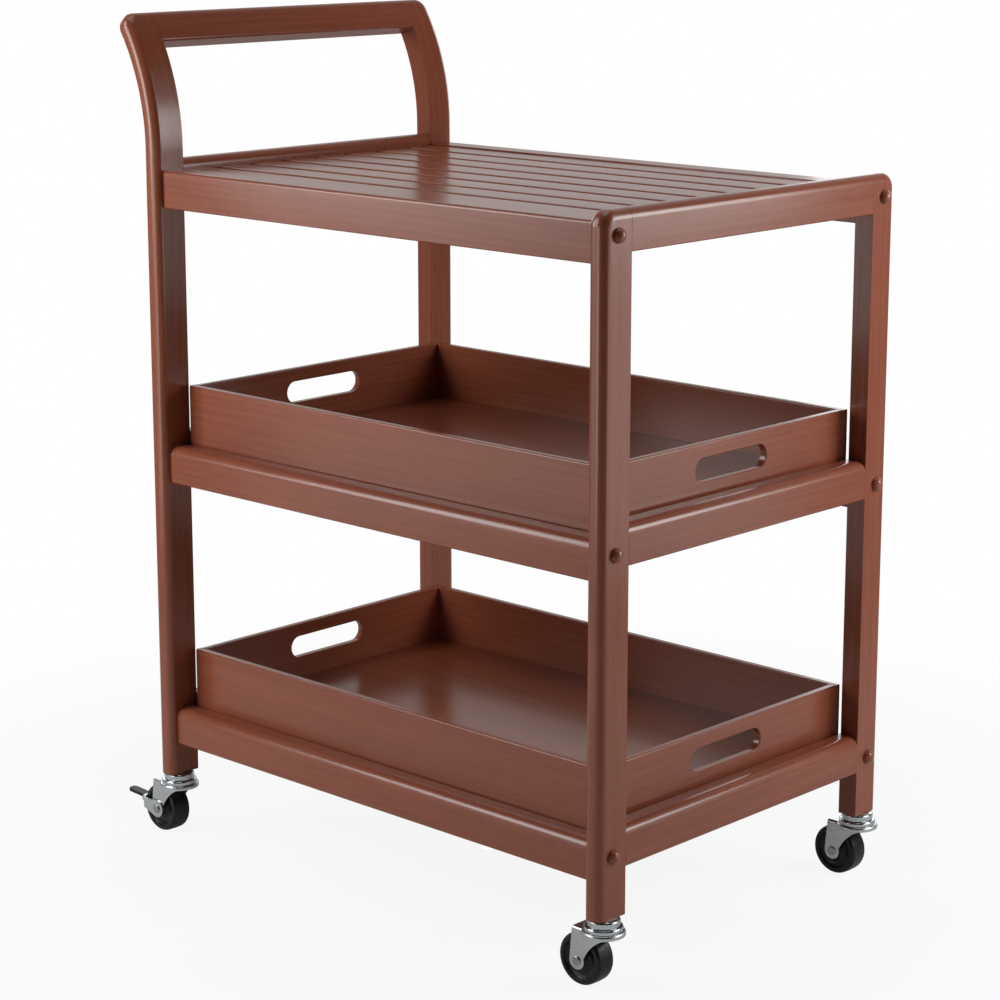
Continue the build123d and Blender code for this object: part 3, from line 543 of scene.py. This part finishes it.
def weld(piece):
    """Joins points that lie on one another, which closes the poles, turns the faces outwards
    and keeps the true edges crisp."""
    shape = bmesh.new()
    shape.from_mesh(piece.data)
    bmesh.ops.remove_doubles(shape, verts=shape.verts, dist=WELD_DISTANCE)
    bmesh.ops.recalc_face_normals(shape, faces=shape.faces)
    shape.to_mesh(piece.data)
    shape.free()
    piece.data.set_sharp_from_angle(angle=SHARP_ANGLE)
    return piece


def arc(centre, radius, start, stop, steps):
    """Points on a circle: the centre plus the radius times the cosine and sine of evenly
    spaced angles, in degrees."""
    turn = np.radians(np.linspace(start, stop, steps))
    return np.stack([centre[0] + radius * np.cos(turn), centre[1] + radius * np.sin(turn)],
                    axis=-1)


def full_turn(steps):
    """Evenly spaced angles round a circle, one to a row."""
    return np.linspace(0, 2 * np.pi, steps, endpoint=False)[:, None]


def corners(node):
    """The two opposite corners of a CAD node's box."""
    return [Vector(corner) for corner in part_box(node)]


def lathe(name, profile, centre, segments):
    """A closed profile of distance along Y and radius, carried round an axle parallel to Y:
    each point goes to radius times cosine and sine of the turn, about the centre."""
    turn = full_turn(segments)
    along = np.broadcast_to(profile[None, :, 0], (segments, len(profile)))
    radius = profile[None, :, 1]
    points = np.stack([centre.x + radius * np.cos(turn), centre.y + along,
                       centre.z + radius * np.sin(turn)], axis=-1)
    return grid_piece(name, points)


def slat_section(half_width, half_depth, shape):
    """A slat's section: a box whose corners are arcs, upper ones wider than lower ones, with a
    top raised by a parabola, which is the crown times one less the square of the distance
    from the middle over half the width."""
    upper, foot = shape.slat_edge, shape.slat_foot
    top = half_depth - shape.slat_crown
    across = np.linspace(half_width - upper, 0, CROWN_POINTS)[1:]
    right = np.concatenate([
        np.array([[0.0, -half_depth]]),
        arc((half_width - foot, foot - half_depth), foot, 270, 360, SMALL_ARC),
        arc((half_width - upper, top - upper), upper, 0, 90, EDGE_ARC),
        np.stack([across, np.full(len(across), top)], axis=-1),
    ])
    left = right[1:-1][::-1] * np.array([-1, 1])
    section = np.concatenate([right, left])
    raised = shape.slat_crown * (1 - (section[:, 0] / half_width) ** 2)
    section[:, 1] += np.where(section[:, 1] > 0, raised, 0)
    return section


def slat_board(name, low, high, shape):
    """A board along X with a slat's section. Towards each end the section draws in by a
    quarter circle, and a last row gathers in the middle of the end."""
    half_width = (high.y - low.y) / 2
    half_depth = (high.z - low.z) / 2
    section = slat_section(half_width, half_depth, shape)
    turn = np.linspace(0, np.pi / 2, SMALL_ARC)
    inset = shape.slat_end * (1 - np.sin(turn))
    start = low.x + shape.slat_end * (1 - np.cos(turn))
    stop = high.x - shape.slat_end * (1 - np.cos(turn[::-1]))
    between = np.linspace(start[-1], stop[0], SLAT_POINTS)[1:-1]
    along = np.concatenate([[low.x], start, between, stop, [high.x]])[:, None]
    inset = np.concatenate([[0], inset, np.zeros(len(between)), inset[::-1], [0]])[:, None]
    open_ends = np.ones(along.shape)
    open_ends[[0, -1]] = 0
    across = section[None, :, 0] * (1 - inset / half_width) * open_ends
    up = section[None, :, 1] * (1 - inset / half_depth) * open_ends
    middle_y, middle_z = (low.y + high.y) / 2, (low.z + high.z) / 2
    points = np.stack([np.broadcast_to(along, across.shape), middle_y + across, middle_z + up],
                      axis=-1)
    return weld(grid_piece(name, points, close_u=False))


def plug_dome(name, centre, outward, shape):
    """A turned dome on the outer face of a post: at each angle the radius is the plug's times
    the cosine, and the height its own times the sine. It ends inside the post in a flat disc."""
    rise = np.linspace(0, np.pi / 2, DOME_POINTS)
    root = -shape.plug_root
    radius = shape.plug_radius * np.concatenate([[0, 1], np.cos(rise)])
    height = np.concatenate([[root, root], shape.plug_proud * np.sin(rise)])
    turn = full_turn(ROUND_POINTS)
    points = np.stack([np.broadcast_to(centre.x + outward * height, (len(turn), len(height))),
                       centre.y + radius * np.cos(turn), centre.z + radius * np.sin(turn)],
                      axis=-1)
    return weld(grid_piece(name, points, close_v=False))


def wheel_profile(half, radius, shape):
    """Half a wheel's section, mirrored: bore, hub, a dished web with slanted steps, then a
    shoulder arc into a tread whose radius falls off with the square of the distance from
    its middle."""
    edge, hub = shape.edge, shape.hub
    rim = radius - shape.rim
    web = half - shape.dish
    groove = web - shape.groove
    inner = hub + shape.lip + shape.hub_shelf
    outer = rim - shape.lip - shape.rim_shelf
    steps = np.array([[web, hub + shape.lip], [web, inner], [groove, inner + shape.slope],
                      [groove, outer - shape.slope], [web, outer], [web, rim - shape.lip]])
    tread_half = half - shape.shoulder
    across = np.linspace(tread_half, 0, CROWN_POINTS)[1:]
    right = np.concatenate([
        np.array([[half, shape.bore], [half, hub - edge]]),
        arc((half - edge, hub - edge), edge, 0, 90, SMALL_ARC),
        steps,
        arc((half - edge, rim + edge), edge, 270, 360, SMALL_ARC),
        arc((tread_half, radius - shape.crown - shape.shoulder), shape.shoulder, 0, 90,
            SHOULDER_ARC),
        np.stack([across, radius - shape.crown * (across / tread_half) ** 2], axis=-1),
    ])
    left = right[:-1][::-1] * np.array([-1, 1])
    return np.concatenate([right, left])


def pedal_pad(name, pin, reach, shape):
    """A pad that runs back from the pin. Each section is a superellipse: half the width times
    the cosine and half the depth times the sine, both raised to two over the exponent. The
    half width follows a circle round the end, and the half depth another over the last
    stretch."""
    exponent = 2 / shape.squareness
    reach = reach / math.cos(shape.rise)
    round_start = reach - shape.half_width
    turn = np.linspace(0, np.pi / 2, DOME_POINTS)[1:]
    straight = np.linspace(0, round_start, PAD_POINTS)
    along = np.concatenate([[0.0], straight, round_start + shape.half_width * np.sin(turn)])
    width = shape.half_width * np.concatenate([[0.0], np.ones(len(straight)), np.cos(turn)])
    past = np.clip((along - reach + shape.tip_round) / shape.tip_round, 0, 1)
    depth = shape.half_depth * np.sqrt(1 - past ** 2)
    depth[0] = 0.0
    about = full_turn(ROUND_POINTS)
    across = np.sign(np.cos(about)) * np.abs(np.cos(about)) ** exponent * width
    up = np.sign(np.sin(about)) * np.abs(np.sin(about)) ** exponent * depth
    back = np.broadcast_to(along, across.shape)
    forward, climb = math.cos(shape.rise), math.sin(shape.rise)
    points = np.stack([pin.x - back * forward + up * climb, pin.y + across,
                       pin.z + back * climb + up * forward], axis=-1)
    return weld(grid_piece(name, points, close_v=False))


def pedal_hub(name, pin, half_length, shape):
    """The pin, and round its middle a hub with a cam: at each turn the radius is the greater
    of the hub's and the far side of the cam's circle, seen from the pin."""
    turn = full_turn(HUB_POINTS)
    lean = turn + shape.lean
    cam = (shape.throw * np.cos(lean)
           + np.sqrt(shape.cam ** 2 - (shape.throw * np.sin(lean)) ** 2))
    outline = np.maximum(shape.hub, cam)
    edge = shape.hub_edge
    hub_half = half_length - shape.hub_gap
    # From the middle of one end: the pin's end, chamfer and side, then the hub's end and
    # chamfer.
    stations = np.array([half_length, half_length, half_length - edge,
                         hub_half, hub_half, hub_half - edge])
    stations = np.concatenate([-stations, stations[::-1]])
    of_pin = np.array([0, shape.pin - edge, shape.pin, shape.pin, 0, 0])
    of_hub = np.array([0, 0, 0, 0, 1, 1])
    inset = np.array([0, 0, 0, 0, edge, 0])
    of_pin, of_hub, inset = (np.concatenate([part, part[::-1]])
                             for part in (of_pin, of_hub, inset))
    radius = of_pin + of_hub * outline - inset
    points = np.stack([pin.x + radius * np.cos(turn),
                       np.broadcast_to(pin.y + stations, radius.shape),
                       pin.z + radius * np.sin(turn)], axis=-1)
    return weld(grid_piece(name, points, close_v=False))


# Steps

class CART_OT_timber_frame(bpy.types.Operator):
    """Stains the posts, rails and grip, with the grain along each one"""

    bl_idname = "cart.timber_frame"
    bl_label = "Posts, rails and grip"

    def execute(self, context):
        seed = FIRST_FRAME_SEED
        middle_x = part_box("post_handle_near")[1][0] - POST_HALF_DEPTH
        bend = (middle_x - BEND_RADIUS, BEND_START, BEND_RADIUS)
        for side in SIDES:
            plain = stained_timber(f"stained_beech_post_plain_{side}", "z", seed)
            dress(f"post_plain_{side}", plain)
            bent = stained_timber(f"stained_beech_post_handle_{side}", "z", seed + 1, bend=bend)
            dress(f"post_handle_{side}", bent)
            seed += 2
            for level in LEVELS:
                rail = stained_timber(f"stained_beech_rail_{side}_{level}", "x", seed)
                dress(f"side_rail_{side}_{level}", rail)
                seed += 1
        for end in ENDS:
            for level in LEVELS:
                rail = stained_timber(f"stained_beech_rail_{end}_{level}", "y", seed)
                dress(f"end_rail_{end}_{level}", rail)
                seed += 1
        dress("grip_rail", stained_timber("stained_beech_grip", "y", seed))
        self.plugs(context, stained_timber("stained_beech_plugs", "x", seed + 1, PLUG_TONE))
        dress("rail_dowels", stained_timber("beech_dowels", "x", seed + 2, DOWEL_TONE))
        return {"FINISHED"}

    def plugs(self, context, material):
        """A dome over each bolt, on the outer faces of the posts."""
        shape = context.scene.cart_joinery
        plain_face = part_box("end_rail_plain_mid")[1][0]
        handle_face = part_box("end_rail_handle_mid")[0][0]
        for side in SIDES:
            low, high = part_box(f"post_plain_{side}")
            for level in LEVELS:
                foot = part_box(f"side_rail_{side}_{level}")[0][2]
                for end, face, outward in (("plain", plain_face, 1), ("handle", handle_face, -1)):
                    centre = Vector((face, (low[1] + high[1]) / 2, foot + shape.plug_rise))
                    dome = plug_dome(f"plug_{end}_{side}_{level}", centre, outward, shape)
                    dome.data.materials.append(material)
                    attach(dome, "frame")
        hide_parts("bolt_plugs")


class CART_OT_deck(bpy.types.Operator):
    """Planes and stains the deck slats one by one, and stains the battens and ledges"""

    bl_idname = "cart.deck"
    bl_label = "Deck, battens and ledges"

    def execute(self, context):
        for number, tone in enumerate(SLAT_TONES, start=1):
            seed = FIRST_SLAT_SEED + number - 1
            material = stained_timber(f"stained_beech_slat_{number}", "x", seed, tone)
            node = f"deck_slat_{number}"
            low, high = corners(node)
            board = slat_board(f"planed_{node}", low, high, context.scene.cart_joinery)
            board.data.materials.append(material)
            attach(board, "frame")
            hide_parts(node)
        battens = stained_timber("stained_beech_battens", "y", BATTEN_SEED, HIDDEN_TONE)
        dress("deck_battens", battens)
        ledges = stained_timber("stained_beech_ledges", "x", LEDGE_SEED, HIDDEN_TONE)
        dress("tray_ledges", ledges)
        return {"FINISHED"}


class CART_OT_trays(bpy.types.Operator):
    """Stains the lift-out trays"""

    bl_idname = "cart.trays"
    bl_label = "Trays"

    def execute(self, context):
        seed = FIRST_TRAY_SEED
        for level in TRAYS:
            for walls, grain in ((SIDES, "x"), (ENDS, "y")):
                for wall in walls:
                    material = stained_timber(f"stained_beech_tray_{level}_{wall}", grain, seed)
                    dress(f"tray_{level}_wall_{wall}", material)
                    seed += 1
            plywood = stained_timber(f"stained_plywood_floor_{level}", "x", seed, PLYWOOD_TONE)
            dress(f"tray_{level}_floor", plywood)
            seed += 1
        return {"FINISHED"}


class CART_OT_caster_metal(bpy.types.Operator):
    """Plates the casters' rings, forks, saddles, axles and the cart's bolts"""

    bl_idname = "cart.caster_metal"
    bl_label = "Caster metal"

    def execute(self, context):
        metal = context.scene.cart_metal
        mark = metal.press_mark
        bright = plated_steel("bright_zinc_plate", metal.zinc, metal.zinc_roughness, mark,
                              BRIGHT_RELIEF)
        satin = plated_steel("satin_zinc_plate", metal.fork, metal.fork_roughness, mark,
                             SATIN_RELIEF)
        plain = plated_steel("turned_steel", metal.steel, metal.steel_roughness, mark,
                             TURNED_RELIEF)
        for end in ENDS:
            for side in SIDES:
                name = f"caster_{end}_{side}"
                dress(f"{name}_mount", bright)
                dress(f"{name}_fork", satin)
                dress(f"{name}_axle", plain)
                if end == "handle":
                    dress(f"{name}_saddle", satin)
        dress("rail_bolts", plain)
        return {"FINISHED"}


class CART_OT_wheels(bpy.types.Operator):
    """Turns the hard rubber wheels, with a crowned tread and a dished side"""

    bl_idname = "cart.wheels"
    bl_label = "Wheels"

    def execute(self, context):
        shape = context.scene.cart_wheels
        metal = context.scene.cart_metal
        rubber = moulded("moulded_hard_rubber", metal.rubber, metal.rubber_roughness, metal.scuff)
        for end in ENDS:
            for side in SIDES:
                node = f"caster_{end}_{side}_wheel"
                low, high = corners(node)
                profile = wheel_profile((high.y - low.y) / 2, (high.z - low.z) / 2, shape)
                wheel = lathe(f"rolling_{node}", profile, (low + high) / 2, shape.segments)
                wheel.data.materials.append(rubber)
                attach(wheel, f"caster_{end}_{side}_roller")
                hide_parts(node)
        return {"FINISHED"}


class CART_OT_pedals(bpy.types.Operator):
    """Moulds the brake pedals: a soft-edged pad, and a hub with a cam on its pin"""

    bl_idname = "cart.pedals"
    bl_label = "Brake pedals"

    def execute(self, context):
        shape = context.scene.cart_pedals
        metal = context.scene.cart_metal
        plastic = moulded("moulded_nylon", metal.pedal, metal.pedal_roughness, metal.scuff / 2)
        cam_reach = shape.throw * math.cos(shape.lean) + shape.cam
        for side in SIDES:
            node = f"caster_handle_{side}_pedal"
            low, high = corners(node)
            pin = Vector((high.x - cam_reach, (low.y + high.y) / 2, low.z + cam_reach))
            pad = pedal_pad(f"pad_{node}", pin, pin.x - low.x, shape)
            hub = pedal_hub(f"hub_{node}", pin, (high.y - low.y) / 2, shape)
            for piece in (pad, hub):
                piece.data.materials.append(plastic)
                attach(piece, f"caster_handle_{side}_brake")
            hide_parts(node)
        return {"FINISHED"}


class CART_OT_stage(bpy.types.Operator):
    """Sets the camera, the lamps, the pale floor and the white surroundings"""

    bl_idname = "cart.stage"
    bl_label = "Stage"

    def execute(self, context):
        scene = context.scene
        stage = scene.cart_stage
        scene.view_settings.view_transform = "Standard"
        forward = self.camera(scene, stage)
        self.lamp("top_lamp", Vector((0.0, 0.0, stage.top_height)),
                  Vector((0.0, 0.0, TOP_AIM)), stage.top_size, stage.top_power)
        for name, where, powers in (("left", stage.left_column, stage.left_power),
                                    ("right", stage.right_column, stage.right_power)):
            for height, watts in zip(stage.heights, powers):
                self.side_lamp(f"{name}_lamp_{round(height * 100)}", where, height,
                               stage.lamp_size, watts)
        for name, where, watts in (("low_left_lamp", stage.low_left, stage.low_power[0]),
                                   ("low_right_lamp", stage.low_right, stage.low_power[1])):
            self.side_lamp(name, where, stage.heights[0], stage.lamp_size, watts)
        for name, way in (("back_left_lamp", -1), ("back_right_lamp", 1)):
            turned = way * stage.back_angle - stage.camera_heading
            where = stage.back_distance * Vector((math.cos(turned), math.sin(turned)))
            self.side_lamp(name, where, stage.back_height, stage.back_size, stage.back_power)
        self.surroundings(scene, stage, forward)
        self.floor(stage)
        return {"FINISHED"}

    def camera(self, scene, stage):
        """The camera, turned by its heading and pitch. Returns the way it looks."""
        heading, pitch = stage.camera_heading, stage.camera_pitch
        forward = Vector((-math.cos(heading) * math.cos(pitch),
                          math.sin(heading) * math.cos(pitch), -math.sin(pitch)))
        right = Vector((math.sin(heading), math.cos(heading), 0))
        up = right.cross(forward)
        data = bpy.data.cameras.new("photo_camera")
        data.sensor_width = SENSOR_WIDTH
        data.lens = stage.lens
        data.shift_y = stage.shift
        data.clip_end = SIGHT
        camera = bpy.data.objects.new("photo_camera", data)
        turn = Matrix((right, up, -forward)).transposed().to_4x4()
        camera.matrix_world = Matrix.Translation(stage.camera_place) @ turn
        scene.collection.objects.link(camera)
        scene.camera = camera
        return forward

    def side_lamp(self, name, where, height, size, watts):
        """A lamp beside the cart, turned to a spot near the cart's middle."""
        aim = Vector((SIDE_AIM_X, 0.0, SIDE_AIM_SHARE * height + SIDE_AIM_RAISED))
        self.lamp(name, Vector((*where, height)), aim, size, watts)

    def lamp(self, name, spot, target, size, watts):
        """A square soft lamp at a spot, turned to its target and not seen itself."""
        data = bpy.data.lights.new(name, "AREA")
        data.size = size
        data.energy = watts
        holder = bpy.data.objects.new(name, data)
        holder.location = spot
        holder.rotation_euler = (target - spot).to_track_quat("-Z", "Y").to_euler()
        holder.visible_camera = False
        bpy.context.scene.collection.objects.link(holder)

    def surroundings(self, scene, stage, forward):
        """White to the camera. Reflections find it white ahead of the camera and dark on the
        camera's side, and the rest of the light gets only a faint fill from it."""
        world = bpy.data.worlds.new("white_surroundings")
        scene.world = world
        world.use_nodes = True
        tree = world.node_tree
        tree.nodes.clear()
        path = add_node(tree, "ShaderNodeLightPath")
        way = add_node(tree, "ShaderNodeTexCoord").outputs["Generated"]
        level = Vector((forward.x, forward.y, 0)).normalized()
        facing = vector(tree, "DOT_PRODUCT", way, level)
        mirrored = remap(tree, facing, REFLECTED_RANGE, (0.0, stage.mirrored))
        seen = mix(tree, path.outputs["Is Glossy Ray"], stage.fill, mirrored)
        strength = mix(tree, path.outputs["Is Camera Ray"], seen, 1.0)
        light = add_node(tree, "ShaderNodeBackground", {"Color": WHITE, "Strength": strength})
        add_node(tree, "ShaderNodeOutputWorld", {"Surface": light.outputs["Background"]})

    def floor(self, stage):
        """A wide disc of plain pale paint that takes the cart's shadow. To the camera it is
        nearly white by the cart, so the shadow still shows, and quite white further out."""
        rings = np.array(FLOOR_RINGS)[:, None]
        turn = full_turn(FLOOR_TURNS).T
        flat = np.zeros((len(FLOOR_RINGS), FLOOR_TURNS))
        points = np.stack([rings * np.cos(turn), rings * np.sin(turn), flat], axis=-1)
        disc = grid_piece("floor", points, close_u=False)
        disc.data.flip_normals()
        material, tree, shader, where = start_material("painted_floor")
        feed(shader, {"Base Color": (*stage.floor, 1), "Roughness": stage.floor_roughness})
        away = vector(tree, "LENGTH", where)
        fade = remap(tree, away, FLOOR_FADE, FLOOR_WHITE, curve="SMOOTHSTEP")
        path = add_node(tree, "ShaderNodeLightPath")
        seen = scalar(tree, "MULTIPLY_ADD", path.outputs["Is Glossy Ray"], FLOOR_REFLECTED,
                      path.outputs["Is Camera Ray"])
        white = add_node(tree, "ShaderNodeEmission", {"Color": WHITE, "Strength": 1.0})
        both = add_node(tree, "ShaderNodeMixShader", {
            0: scalar(tree, "MULTIPLY", fade, seen), 1: shader.outputs["BSDF"],
            2: white.outputs["Emission"]})
        output = next(node for node in tree.nodes if node.type == "OUTPUT_MATERIAL")
        feed(output, {"Surface": both.outputs["Shader"]})
        disc.data.materials.append(material)


class CART_PT_panel(bpy.types.Panel):
    """Lists the cart's settings and steps"""

    bl_idname = "CART_PT_panel"
    bl_label = "Bar cart"
    bl_space_type = "VIEW_3D"
    bl_region_type = "UI"
    bl_category = "Bar cart"

    def draw(self, context):
        for step in STEPS:
            self.layout.operator(step.bl_idname)
        for group in GROUPS:
            settings = getattr(context.scene, group)
            box = self.layout.box()
            for setting in settings.__annotations__:
                box.prop(settings, setting)


STEPS = (CART_OT_timber_frame, CART_OT_deck, CART_OT_trays, CART_OT_caster_metal,
         CART_OT_wheels, CART_OT_pedals, CART_OT_stage)
GROUPS = {"cart_timber": CartTimber, "cart_metal": CartMetal, "cart_wheels": CartWheels,
          "cart_joinery": CartJoinery, "cart_pedals": CartPedals, "cart_stage": CartStage}


def register():
    """Registers the settings, steps and panel."""
    for kind in (*GROUPS.values(), *STEPS, CART_PT_panel):
        bpy.utils.register_class(kind)
    for name, kind in GROUPS.items():
        setattr(bpy.types.Scene, name, PointerProperty(type=kind))


def unregister():
    """Takes the settings, steps and panel out again."""
    for name in GROUPS:
        delattr(bpy.types.Scene, name)
    for kind in (CART_PT_panel, *STEPS[::-1], *GROUPS.values()):
        bpy.utils.unregister_class(kind)


def main():
    """Runs every step in order."""
    register()
    for step in STEPS:
        space, name = step.bl_idname.split(".")
        getattr(getattr(bpy.ops, space), name)()


if __name__ == "__main__":
    main()
